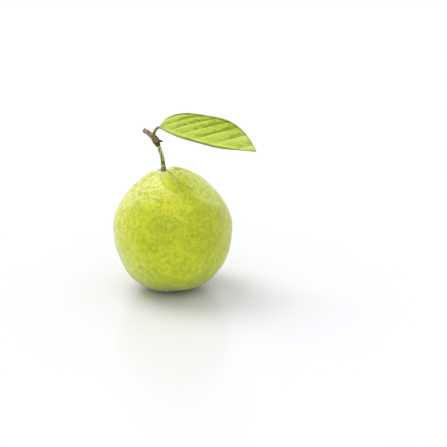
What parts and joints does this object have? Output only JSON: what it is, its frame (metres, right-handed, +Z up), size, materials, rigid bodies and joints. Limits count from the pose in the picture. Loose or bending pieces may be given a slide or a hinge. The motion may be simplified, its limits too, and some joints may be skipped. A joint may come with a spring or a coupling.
{
  "type": "guava",
  "caption": "Whole green guava standing on its blossom end, with its stalk, a snipped end of twig and one folded leaf.",
  "frame": {"origin": "centre of the small flat spot under the fruit, at the height of the surface that it stands on", "axes": "+Z up out of the surface, +X towards the leaf's tip, the stalk leans towards -X, and -Y is the side that the leaf's upper face is turned to"},
  "size_m": [0.1034, 0.0862, 0.1296],
  "materials": {
    "skin": "waxy yellow-green fruit skin, satin",
    "dried_calyx": "dry brown sepals, matte",
    "stalk": "green-brown woody stalk, matte",
    "bark": "brown to grey-tan bark, matte",
    "bud_scales": "dark brown bud scales, matte",
    "leaf": "light green leaf, satin above"
  },
  "bodies": {
    "root": {"fruit": "skin", "calyx": "dried_calyx", "stalk": "stalk", "twig": "bark", "bud": "bud_scales", "leaf": "leaf"}
  },
  "joints": []
}
